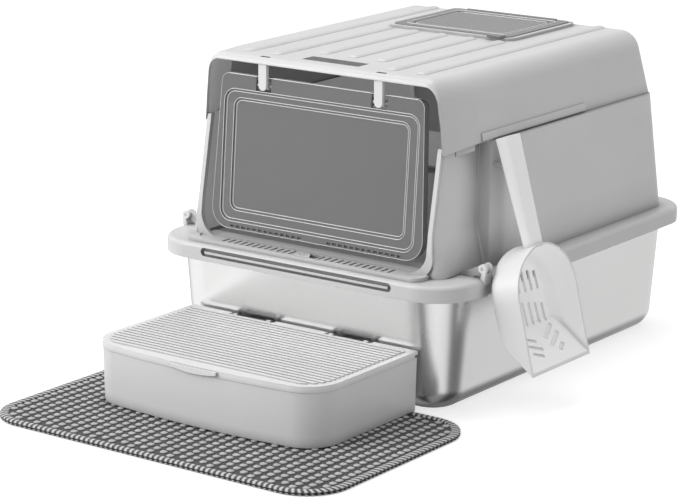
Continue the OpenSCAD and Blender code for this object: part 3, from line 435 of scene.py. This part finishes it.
def skin(node_name, sharp=32, flat=0.5):
    """A smooth, welded copy of a CAD node, whose facets run together up to the sharp angle."""
    mesh = frame["nodes"][node_name].data.copy()
    mesh.name = node_name + "_skin"
    mesh.materials.clear()
    for name in [a.name for a in mesh.attributes if a.name in SHADING_ATTRIBUTES]:
        mesh.attributes.remove(mesh.attributes[name])
    form = bmesh.new()
    form.from_mesh(mesh)
    bmesh.ops.remove_doubles(form, verts=form.verts, dist=1e-6)
    bmesh.ops.dissolve_limit(form, angle_limit=math.radians(flat), verts=form.verts, edges=form.edges)
    if node_name in SHELLS:
        for place, way in GLOW_CUTS.get(node_name, ()):
            bmesh.ops.bisect_plane(form, geom=form.verts[:] + form.edges[:] + form.faces[:],
                                   plane_co=place, plane_no=way)
        mark_inner_walls(form, SHELLS[node_name][0])
    if node_name in SHAPES:
        bmesh.ops.triangulate(form, faces=form.faces)
        for vert in form.verts:
            vert.co = SHAPES[node_name](vert.co)
        form.normal_update()
    for face in form.faces:
        face.smooth = True
    for edge in form.edges:
        edge.smooth = len(edge.link_faces) == 2 and edge.calc_face_angle() < math.radians(sharp)
    form.to_mesh(mesh)
    form.free()
    piece = link_mesh(node_name + "_skin", mesh)
    normals = piece.modifiers.new("normals", "WEIGHTED_NORMAL")
    normals.keep_sharp = True
    finish_piece(piece, SLOT_OF[node_name], BODY_OF[node_name], node_name)
    if node_name in SHELLS:
        # the inner faces take the finish with painted glow, the slots dark plastic as painted shade
        mesh.materials.append(FINISHES[SHELLS[node_name][1]])
        mesh.materials.append(FINISHES["dark_plastic"])


SKINNED = [part["node"] for part in RECORD["subparts"]
           if part["node"] != "steel_pan" and not part["node"].startswith("mat_")]

# ------------------------------------------------------------------ pan

PAN_W, PAN_D, PAN_CORNER, PAN_TOP = 402 * MM, 512 * MM, 58 * MM, 153 * MM
PAN_DRAFT, FOOT_CORNER, FOOT_ROUND, STEEL, FLANGE = 11 * MM, 43 * MM, 27 * MM, 1 * MM, 7.6 * MM


def pan_ring(grow, radius, z, steps=20):
    """Points round the pan at height z; grow is how far they lie outside its upper outline."""
    half_w, half_d = PAN_W / 2 + grow - radius, PAN_D / 2 + grow - radius
    ring = []
    for cx, cy, start in ((half_w, half_d, 0), (-half_w, half_d, 90), (-half_w, -half_d, 180),
                          (half_w, -half_d, 270)):
        for k in range(steps + 1):
            angle = math.radians(start + 90 * k / steps)
            ring.append((cx + radius * math.cos(angle), cy + radius * math.sin(angle), z))
    return ring


def pan_side(inset):
    """Rings from the pan's floor up its wall to the top."""
    rings = []
    for k in range(13):
        angle = math.radians(90 - 90 * k / 12)
        back = FOOT_ROUND - (FOOT_ROUND - inset) * math.cos(angle)
        rings.append(pan_ring(-PAN_DRAFT - back, FOOT_CORNER - back,
                              FOOT_ROUND - (FOOT_ROUND - inset) * math.sin(angle)))
    for k in range(1, 9):
        t = k / 8
        radius = FOOT_CORNER + (PAN_CORNER - FOOT_CORNER) * t - inset
        rings.append(pan_ring(-PAN_DRAFT * (1 - t) - inset, radius,
                              FOOT_ROUND + (PAN_TOP - FOOT_ROUND) * t))
    return rings


def make_pan():
    """The drawn steel pan in one smooth run: inside, rolled flange, outside."""
    flange = [(FLANGE, PAN_TOP), (FLANGE, PAN_TOP - 3.5 * MM), (FLANGE - STEEL, PAN_TOP - 3.5 * MM),
              (FLANGE - STEEL, PAN_TOP - STEEL)]
    inside = pan_side(STEEL)
    rings = inside + [pan_ring(grow, PAN_CORNER + grow, z) for grow, z in flange]
    rings += [pan_ring(0, PAN_CORNER, PAN_TOP - STEEL)] + pan_side(0)[-2::-1]
    n = len(rings[0])
    verts = [point for ring in rings for point in ring]
    faces = [(r * n + i, r * n + (i + 1) % n, (r + 1) * n + (i + 1) % n, (r + 1) * n + i)
             for r in range(len(rings) - 1) for i in range(n)]
    faces.append(tuple(reversed(range(n))))
    faces.append(tuple(range(len(verts) - n, len(verts))))
    mesh = bpy.data.meshes.new("steel_pan_skin")
    mesh.from_pydata(verts, [], faces)
    form = bmesh.new()
    form.from_mesh(mesh)
    bmesh.ops.recalc_face_normals(form, faces=form.faces)
    for face in form.faces:
        face.smooth = True
    for edge in form.edges:
        edge.smooth = edge.calc_face_angle(0) < math.radians(40)
    form.to_mesh(mesh)
    form.free()
    # painted light: the inner faces take the steel that glows
    for face in mesh.polygons[:(len(inside) - 1) * n]:
        face.material_index = INNER
    finish_piece(link_mesh("steel_pan_skin", mesh), "steel", BODY_OF["steel_pan"], "steel_pan")
    mesh.materials.append(FINISHES["inner_steel_painted_glow"])


# ------------------------------------------------------------------ see-through pieces and hooks

JOINTS = {joint["name"]: joint for joint in RECORD["behaviour"]["joints"]}
FLAP_AXIS = Vector(JOINTS["flap_swing"]["pos_m"])
FLAP_LEAN = math.radians(4.5)
FLAP_DROP, FLAP_H, FLAP_HALF = 173 * MM, 183 * MM, 150.5 * MM
FLAP_FACE, EMBOSS = 3.2 * MM, 1.4 * MM
LINE_R = 0.5 * MM
LINE_GAP = 3.2 * MM


def rect_loop(left, right, low, high, radius, steps=8):
    """Points round a rounded rectangle in a plane."""
    points = []
    for cx, cy, start in ((right - radius, high - radius, 0), (left + radius, high - radius, 90),
                          (left + radius, low + radius, 180), (right - radius, low + radius, 270)):
        for k in range(steps + 1):
            angle = math.radians(start + 90 * k / steps)
            points.append((cx + radius * math.cos(angle), cy + radius * math.sin(angle)))
    return points


def bead(points, radius, ring=6):
    """Vertices and faces of a closed round bead through the points."""
    n = len(points)
    verts, faces = [], []
    for i, point in enumerate(points):
        along = (points[(i + 1) % n] - points[i - 1]).normalized()
        side = along.cross(BEAD_UP).normalized()
        up = side.cross(along)
        for k in range(ring):
            angle = 2 * math.pi * k / ring
            verts.append(point + side * radius * math.cos(angle) + up * radius * math.sin(angle))
        for k in range(ring):
            a, b = i * ring + k, i * ring + (k + 1) % ring
            faces.append((a, b, (b + ring) % (n * ring), (a + ring) % (n * ring)))
    return verts, faces


BEAD_UP = Vector((0, -0.5, 0.87))


def make_beads(name, loops, radius, body):
    """One piece of several closed beads, in the light edge finish of painted highlight."""
    verts, faces = [], []
    for loop in loops:
        some, rings = bead(loop, radius)
        faces += [tuple(len(verts) + i for i in face) for face in rings]
        verts += some
    mesh = bpy.data.meshes.new(name)
    mesh.from_pydata(verts, [], faces)
    mesh.shade_smooth()
    finish_piece(link_mesh(name, mesh), "clear_plastic", body, finish="painted_edge_highlight")


def on_flap(x, up, out):
    """A point of the hanging flap: x across, up its face from the lower edge, out of its front."""
    rise = up - FLAP_DROP
    return FLAP_AXIS + Vector((x, rise * math.sin(FLAP_LEAN) - out * math.cos(FLAP_LEAN),
                               rise * math.cos(FLAP_LEAN) + out * math.sin(FLAP_LEAN)))


def make_flap_lines():
    """Moulded lines along both embossed frames of the flap, made bright by painted highlight."""
    loops = []
    for level in (0, 1):
        half = FLAP_HALF - (12 + 13.5 * level) * MM
        low, high = (9 + 13 * level) * MM, FLAP_H - (17.5 + 10 * level) * MM
        for step in (0, 1):
            inset, out = step * LINE_GAP, FLAP_FACE - (level + step) * EMBOSS
            radius = (15 - 4 * level) * MM - inset
            loops.append([on_flap(x, y, out) for x, y in
                          rect_loop(-half + inset, half - inset, low + inset, high - inset, radius)])
    make_beads("flap_lines", loops, LINE_R, BODY_OF["flap_door"])


# Corners of the flap's outline: centre across and up, radius, first angle; mm and degrees.
FLAP_CORNERS = ((133.5, 173, 9.6, 0), (-133.5, 173, 9.6, 90), (-126.5, 24, 23.6, 180),
                (126.5, 24, 23.6, 270))
EDGE_RUNS = ((-134, -94), (-70, 70), (94, 134))  # runs of the upper edge beside the hooks, mm
EDGE_LOW, EDGE_HIGH, EDGE_OUT, EDGE_IN = 182.7, 183.3, 3.3, -5.4


def make_flap_edges():
    """The outline of the flap, and its upper edge beside and between the hooks, made bright by painted
    highlight.
    """
    points = []
    for cx, cy, radius, start in FLAP_CORNERS:
        for k in range(9):
            angle = math.radians(start + 90 * k / 8)
            x, up = cx + radius * math.cos(angle), cy + radius * math.sin(angle)
            points.append(on_flap(x * MM, up * MM, FLAP_FACE - 0.2 * MM))
    make_beads("flap_outline", [points], 0.4 * MM, BODY_OF["flap_door"])
    form = bmesh.new()
    for left, right in EDGE_RUNS:
        section = ((left, EDGE_OUT), (right, EDGE_OUT), (right, EDGE_IN), (left, EDGE_IN))
        corners = [form.verts.new(on_flap(x * MM, up * MM, out * MM)) for up in (EDGE_LOW, EDGE_HIGH)
                   for x, out in section]
        for k in range(4):
            form.faces.new((corners[k], corners[(k + 1) % 4], corners[4 + (k + 1) % 4], corners[4 + k]))
        form.faces.new(corners[3::-1])
        form.faces.new(corners[4:])
    mesh = bpy.data.meshes.new("flap_upper_edge")
    form.to_mesh(mesh)
    form.free()
    piece = link_mesh("flap_upper_edge", mesh)
    bevel = piece.modifiers.new("edges", "BEVEL")
    bevel.width, bevel.segments = 0.2 * MM, 2
    finish_piece(piece, "clear_plastic", BODY_OF["flap_door"], finish="painted_edge_highlight")


def make_skylight_lines():
    """The same lines on the skylight, with the same painted highlight."""
    axis = JOINTS["skylight_open"]["pos_m"]
    middle, top = axis[1] - 67.5 * MM, axis[2] + 1.3 * MM
    loops = []
    for half_w, half_d, drop in ((74, 59, 0), (66, 51, 0.8)):
        loop = rect_loop(-half_w * MM, half_w * MM, -half_d * MM, half_d * MM, 9 * MM)
        loops.append([Vector((x, middle + y, top - drop * MM)) for x, y in loop])
    make_beads("skylight_lines", loops, LINE_R, BODY_OF["skylight"])


STRAP_HALF, STRAP_THICK = 5.9 * MM, 2.2 * MM


def make_hook_face(side):
    """The strap that shows in front of a hanger hook, with a round lower end."""
    name = "hook_left" if side < 0 else "hook_right"
    low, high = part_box(name)
    middle, half = (low[0] + high[0]) / 2, STRAP_HALF
    front, foot, top = low[1] - 1.5 * MM, low[2] - 0.8 * MM + half, high[2] - 3 * MM
    outline = [(half, top), (-half, top)]
    outline += [(half * math.cos(a), foot + half * math.sin(a))
                for a in (math.radians(180 + 15 * k) for k in range(13))]
    form = bmesh.new()
    face = form.faces.new([form.verts.new((middle + x, front, z)) for x, z in outline])
    grown = bmesh.ops.extrude_face_region(form, geom=[face])
    for vert in (item for item in grown["geom"] if isinstance(item, bmesh.types.BMVert)):
        vert.co.y += STRAP_THICK
    bmesh.ops.recalc_face_normals(form, faces=form.faces)
    mesh = bpy.data.meshes.new(name + "_face")
    form.to_mesh(mesh)
    form.free()
    piece = link_mesh(name + "_face", mesh)
    bevel = piece.modifiers.new("edges", "BEVEL")
    bevel.width, bevel.segments = 0.6 * MM, 2
    finish_piece(piece, SLOT_OF[name], BODY_OF[name])


# ------------------------------------------------------------------ mat

MAT_LOW, MAT_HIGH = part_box("mat_top_binding")
BASE_LOW, BASE_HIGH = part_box("mat_bottom_binding")
SHEET_LOW, SHEET_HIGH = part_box("mat_top")
MAT_CORNER = 53 * MM
BINDING_W = SHEET_LOW[0] - MAT_LOW[0]
MAT_MIDDLE = ((MAT_LOW[0] + MAT_HIGH[0]) / 2, (MAT_LOW[1] + MAT_HIGH[1]) / 2)
NUB_PITCH = 11.1 * MM
NUB_ROW = 13.7 * MM
NUB_H = 1.9 * MM
NUB_R = 4.8 * MM


def rounded_path(width, depth, radius, pitch):
    """Points round a rounded rectangle about the mat's middle: (place, outward normal, distance)."""
    points = []
    distance = 0.0
    half_w, half_d = width / 2 - radius, depth / 2 - radius
    corners = [(half_w, half_d, 0), (-half_w, half_d, 90), (-half_w, -half_d, 180),
               (half_w, -half_d, 270)]
    for k, (cx, cy, start) in enumerate(corners):
        arc = math.radians(90) * radius
        steps = max(6, round(arc / pitch))
        for i in range(steps):
            angle = math.radians(start + 90 * i / steps)
            normal = Vector((math.cos(angle), math.sin(angle), 0))
            points.append((Vector((cx, cy, 0)) + normal * radius, normal, distance + arc * i / steps))
        distance += arc
        nx, ny, _ = corners[(k + 1) % 4]
        side = math.hypot(nx - cx, ny - cy)
        angle = math.radians(start + 90)
        normal = Vector((math.cos(angle), math.sin(angle), 0))
        steps = max(2, round(side / pitch))
        for i in range(steps):
            along = Vector((cx, cy, 0)).lerp(Vector((nx, ny, 0)), i / steps)
            points.append((along + normal * radius, normal, distance + side * i / steps))
        distance += side
    return points, distance


def in_rounded_rect(x, y, half_w, half_d, radius):
    dx = max(abs(x) - (half_w - radius), 0)
    dy = max(abs(y) - (half_d - radius), 0)
    return math.hypot(dx, dy) <= radius and abs(x) <= half_w and abs(y) <= half_d


def nub_outline(angle):
    """Radius of a nub, with two ears at its back and a round front."""
    ears = sum(math.exp(-((angle - math.radians(90 + side * 42)) / 0.30) ** 2) for side in (-1, 1))
    return NUB_R * (0.86 + 0.26 * ears)


def make_mat_sheet(name, node_name, top):
    """A foam sheet with a softly rounded edge, from the node's underside up to top."""
    low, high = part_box(node_name)
    width, depth = high[0] - low[0], high[1] - low[1]
    path, _ = rounded_path(width, depth, MAT_CORNER - BINDING_W, 6 * MM)
    verts, faces = [], []
    levels = [(0.4 * MM, low[2]), (0, low[2] + 0.4 * MM), (0, top - 0.4 * MM), (0.4 * MM, top)]
    for inset, z in levels:
        for place, normal, _ in path:
            p = place - normal * inset
            verts.append((MAT_MIDDLE[0] + p.x, MAT_MIDDLE[1] + p.y, z))
    n = len(path)
    for level in range(len(levels) - 1):
        for i in range(n):
            j = (i + 1) % n
            faces.append((level * n + i, level * n + j, (level + 1) * n + j, (level + 1) * n + i))
    faces.append(tuple(reversed(range(n))))
    faces.append(tuple(range((len(levels) - 1) * n, len(levels) * n)))
    mesh = bpy.data.meshes.new(name)
    mesh.from_pydata(verts, [], faces)
    piece = link_mesh(name, mesh)
    # the upper sheet, seen only between the nubs, is painted near-black as their shade
    finish = "mat_ground_painted_shade" if node_name == "mat_top" else None
    finish_piece(piece, SLOT_OF[node_name], "mat", node_name, finish=finish)


def make_nubs(sheet_top):
    """The staggered lattice of raised nubs on the upper sheet."""
    rings = ((1.0, 0.0), (0.96, 0.55), (0.80, 0.86), (0.45, 1.0))
    segments = 18
    outline = []
    for s in range(segments):
        angle = 2 * math.pi * s / segments
        radius = nub_outline(angle)
        outline.append((radius * math.cos(angle), radius * math.sin(angle)))
    half_w = (SHEET_HIGH[0] - SHEET_LOW[0]) / 2 - NUB_R
    half_d = (SHEET_HIGH[1] - SHEET_LOW[1]) / 2 - NUB_R
    corner = MAT_CORNER - BINDING_W - NUB_R
    verts, faces = [], []
    columns = int(half_w / NUB_ROW) + 1
    rows = int(half_d / NUB_PITCH) + 1
    for c in range(-columns, columns + 1):
        for r in range(-rows, rows + 1):
            x = c * NUB_ROW
            y = (r + (0.5 if c % 2 else 0.0)) * NUB_PITCH
            if not in_rounded_rect(x, y, half_w, half_d, corner):
                continue
            base = len(verts)
            for scale, lift in rings:
                for px, py in outline:
                    verts.append((MAT_MIDDLE[0] + x + px * scale, MAT_MIDDLE[1] + y + py * scale,
                                  sheet_top - 0.1 * MM + lift * (NUB_H + 0.1 * MM)))
            for level in range(len(rings) - 1):
                for s in range(segments):
                    t = (s + 1) % segments
                    lower, upper = base + level * segments, base + (level + 1) * segments
                    faces.append((lower + s, lower + t, upper + t, upper + s))
            top = base + (len(rings) - 1) * segments
            faces.append(tuple(range(top, top + segments)))
            faces.append(tuple(reversed(range(base, base + segments))))
    mesh = bpy.data.meshes.new("mat_nubs")
    mesh.from_pydata(verts, [], faces)
    mesh.shade_smooth()
    piece = link_mesh("mat_nubs", mesh)
    finish_piece(piece, "mat_foam", "mat")


def make_binding(name, node_name, low, high):
    """The over-stitched tape round a mat layer: a rounded band with twisted ridges."""
    ring = 14
    pitch, slant = 7.0 * MM, 9.0 * MM
    width, height = BINDING_W + 1.2 * MM, high[2] - low[2]
    path, length = rounded_path(high[0] - low[0], high[1] - low[1], MAT_CORNER, 0.9 * MM)
    twists = round(length / pitch)
    verts, faces, uvs = [], [], []
    middle_z = (low[2] + high[2]) / 2
    for place, normal, distance in path:
        for s in range(ring):
            angle = 2 * math.pi * s / ring
            lean = math.cos(angle)
            across = lean * abs(lean) ** -0.25 if abs(lean) > 1e-6 else 0.0
            turn = distance / length * twists + slant / pitch * s / ring
            ridge = 0.78 + 0.22 * abs(math.sin(math.pi * turn))
            p = place + normal * (across * width / 2 * (0.97 + 0.03 * ridge) - width / 2)
            verts.append((MAT_MIDDLE[0] + p.x, MAT_MIDDLE[1] + p.y,
                          middle_z + math.sin(angle) * height / 2 * ridge))
    n = len(path)
    for i in range(n):
        j = (i + 1) % n
        u0 = path[i][2] / length * twists
        u1 = twists if j == 0 else path[j][2] / length * twists
        for s in range(ring):
            t = (s + 1) % ring
            faces.append((i * ring + s, j * ring + s, j * ring + t, i * ring + t))
            shift0, shift1 = slant / pitch * s / ring, slant / pitch * (s + 1) / ring
            uvs += [(u0 + shift0, s / ring), (u1 + shift0, s / ring), (u1 + shift1, (s + 1) / ring),
                    (u0 + shift1, (s + 1) / ring)]
    mesh = bpy.data.meshes.new(name)
    mesh.from_pydata(verts, [], faces)
    layer = mesh.uv_layers.new(name="tape")
    for loop, uv in zip(layer.data, uvs):
        loop.uv = uv
    mesh.shade_smooth()
    piece = link_mesh(name, mesh)
    finish_piece(piece, "binding", "mat", node_name)


def make_mat():
    sheet_top = SHEET_HIGH[2] - NUB_H
    make_mat_sheet("mat_upper_foam", "mat_top", sheet_top)
    make_mat_sheet("mat_lower_foam", "mat_bottom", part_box("mat_bottom")[1][2] - 0.1 * MM)
    make_nubs(sheet_top)
    make_binding("mat_upper_tape", "mat_top_binding", MAT_LOW, MAT_HIGH)
    make_binding("mat_lower_tape", "mat_bottom_binding", BASE_LOW, BASE_HIGH)


# ------------------------------------------------------------------ studio

def area_light(name, place, target, size, power):
    data = bpy.data.lights.new(name, "AREA")
    data.shape = "RECTANGLE"
    data.size, data.size_y = size
    data.energy = power
    lamp = bpy.data.objects.new(name, data)
    lamp.location = place
    lamp.rotation_euler = (Vector(target) - Vector(place)).to_track_quat("-Z", "Y").to_euler()
    bpy.context.scene.collection.objects.link(lamp)


FLOOR_HALF, FLOOR_GLOW = 14, 0.62


def make_floor():
    """A wide pale floor. It looks white to the camera and in gloss, and keeps the shadow."""
    mesh = bpy.data.meshes.new("floor")
    half = FLOOR_HALF
    corners = [(-half, -half, 0), (half, -half, 0), (half, half, 0), (-half, half, 0)]
    mesh.from_pydata(corners, [], [(0, 1, 2, 3)])
    floor = link_mesh("floor", mesh)
    finish = Finish("floor", Roughness=0.9, Specular_IOR_Level=0.0)
    finish.colour(finish.mix(finish.noise(3, 2), grey(0.70), grey(0.72)))
    path = finish.add("LightPath").outputs
    seen = finish.add("Math", {0: path["Is Camera Ray"], 1: path["Is Glossy Ray"]}, operation="MAXIMUM")
    seen = finish.add("Math", {0: seen.outputs[0], 1: path["Is Transmission Ray"]}, operation="MAXIMUM")
    strength = finish.ramp(seen.outputs[0], 0, FLOOR_GLOW)
    glow = finish.add("Emission", {"Color": grey(1.0), "Strength": strength})
    total = finish.add("AddShader", {0: finish.shader.outputs[0], 1: glow.outputs[0]})
    finish.link(total.outputs[0], finish.output.inputs["Surface"])
    mesh.materials.append(finish.done())
    floor.visible_glossy = False


# What gloss sees: compass angle in degrees and how light the room is there.
GLOSS_BANDS = ((-180, 0.80), (-150, 0.70), (-124, 0.50), (-100, 1.10), (-42, 1.22), (-33, 1.10),
               (-25, 0.06), (8, 0.06), (20, 1.05), (44, 1.20), (74, 1.02), (86, 0.18), (121, 0.20),
               (138, 0.80), (180, 0.80))
GLOSS_BELOW, GLOSS_START, GLOSS_END = 0.22, -0.59, -0.43  # it dims where gloss looks down
LIGHT_LEFT, LIGHT_RIGHT = 0.50, 0.24


def make_world():
    """A white room. Gloss sees soft grey bands round it, and light is weaker from the right."""
    world = bpy.data.worlds.new("studio")
    world.use_nodes = True
    tree = world.node_tree
    tree.nodes.clear()

    def add(kind, inputs=(), **settings):
        node = tree.nodes.new("ShaderNode" + kind)
        for key, value in settings.items():
            setattr(node, key, value)
        for key, value in dict(inputs).items():
            if isinstance(value, bpy.types.NodeSocket):
                tree.links.new(value, node.inputs[key])
            else:
                node.inputs[key].default_value = value
        return node

    def maths(operation, a, b=0.0):
        return add("Math", {0: a, 1: b}, operation=operation).outputs[0]

    def span(value, low, high, start, end):
        return add("MapRange", {"Value": value, "From Min": start, "From Max": end, "To Min": low,
                                "To Max": high}).outputs[0]

    way = add("SeparateXYZ", {0: add("TexCoord").outputs["Generated"]}).outputs
    turn = maths("ARCTAN2", way["X"], maths("MULTIPLY", way["Y"], -1.0))
    bands = add("ValToRGB", {"Fac": span(turn, 0, 1, -math.pi, math.pi)})
    stops = bands.color_ramp.elements
    for k, (angle, level) in enumerate(GLOSS_BANDS):
        place = (angle + 180) / 360
        stop = stops[k] if k < 2 else stops.new(place)
        stop.position = place
        stop.color = (level, level, level, 1)
    below = span(way["Z"], GLOSS_BELOW, 1.0, GLOSS_START, GLOSS_END)
    gloss = maths("MULTIPLY", bands.outputs["Color"], below)
    soft = span(way["X"], LIGHT_LEFT, LIGHT_RIGHT, -1, 1)
    path = add("LightPath").outputs
    seen = maths("MAXIMUM", path["Is Camera Ray"], path["Is Transmission Ray"])
    level = add("Mix", {0: path["Is Glossy Ray"], 2: soft, 3: gloss}, data_type="FLOAT").outputs[0]
    level = add("Mix", {0: seen, 2: level, 3: 1.0}, data_type="FLOAT").outputs[0]
    background = add("Background", {"Color": grey(1.0), "Strength": level})
    add("OutputWorld", {0: background.outputs[0]})
    bpy.context.scene.world = world


def make_lights():
    area_light("key", (-2.3, -3.2, 2.3), (0, -0.1, 0.15), (2.4, 2.0), 96)
    area_light("top", (-0.3, 0.2, 3.4), (0, 0, 0.2), (2.6, 2.6), 46)
    area_light("right", (3.6, 0.6, 1.6), (0, 0, 0.15), (2.0, 2.0), 14)


make_camera()
FINISHES = make_finishes()
for node in SKINNED:
    skin(node, sharp=HOOD_SHARP if node == "hood" else 32)
make_mat()
make_pan()
make_flap_lines()
make_flap_edges()
make_skylight_lines()
for side in (-1, 1):
    make_hook_face(side)
make_floor()
make_world()
make_lights()

bpy.context.scene.view_settings.view_transform = "Standard"
